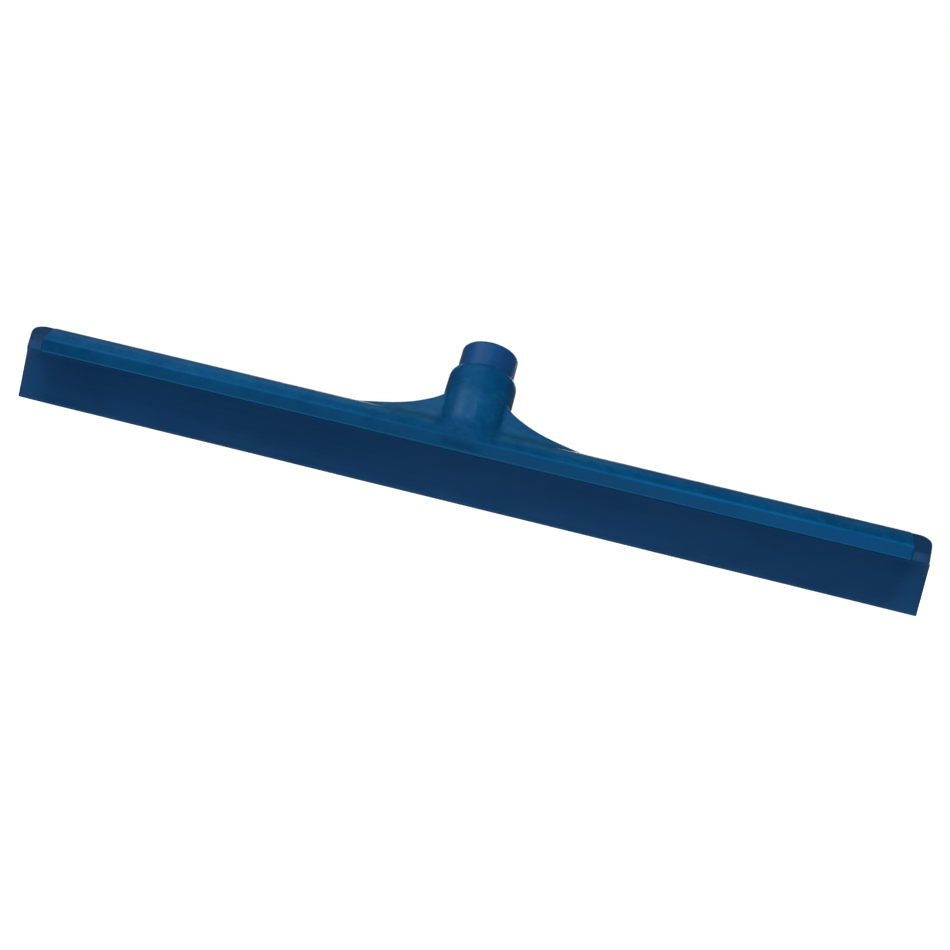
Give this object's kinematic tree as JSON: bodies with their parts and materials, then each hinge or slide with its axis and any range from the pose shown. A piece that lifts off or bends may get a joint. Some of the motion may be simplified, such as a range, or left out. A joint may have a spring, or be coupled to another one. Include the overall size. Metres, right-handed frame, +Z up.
{
  "type": "floor squeegee head",
  "caption": "Long single-blade floor squeegee head with a leaning threaded handle socket, end caps and a flexing rubber blade.",
  "frame": {"origin": "middle of the blade's wiping edge", "axes": "+X along the head, +Z up from the wiping edge, +Y towards the side the handle socket leans to, so the front faces -Y"},
  "size_m": [0.6, 0.0698, 0.1089],
  "materials": {
    "body_plastic": "satin moulded polypropylene, blue",
    "insert_plastic": "satin moulded nylon, slightly more violet blue",
    "blade_rubber": "matt thermoplastic elastomer, dark blue",
    "cap_rubber": "matt thermoplastic elastomer, navy"
  },
  "bodies": {
    "head": {"head_body": "body_plastic", "socket_insert": "insert_plastic", "blade_root": "blade_rubber", "end_cap_left": "cap_rubber", "end_cap_right": "cap_rubber"},
    "blade": {"blade_lip": "blade_rubber"}
  },
  "joints": [
    {"name": "blade_flex", "type": "hinge", "parent": "head", "child": "blade", "pos_m": [0, 0, 0.0307], "axis": [1, 0, 0], "range_deg": [-30, 30], "stiffness_Nm_per_rad": 4}
  ]
}
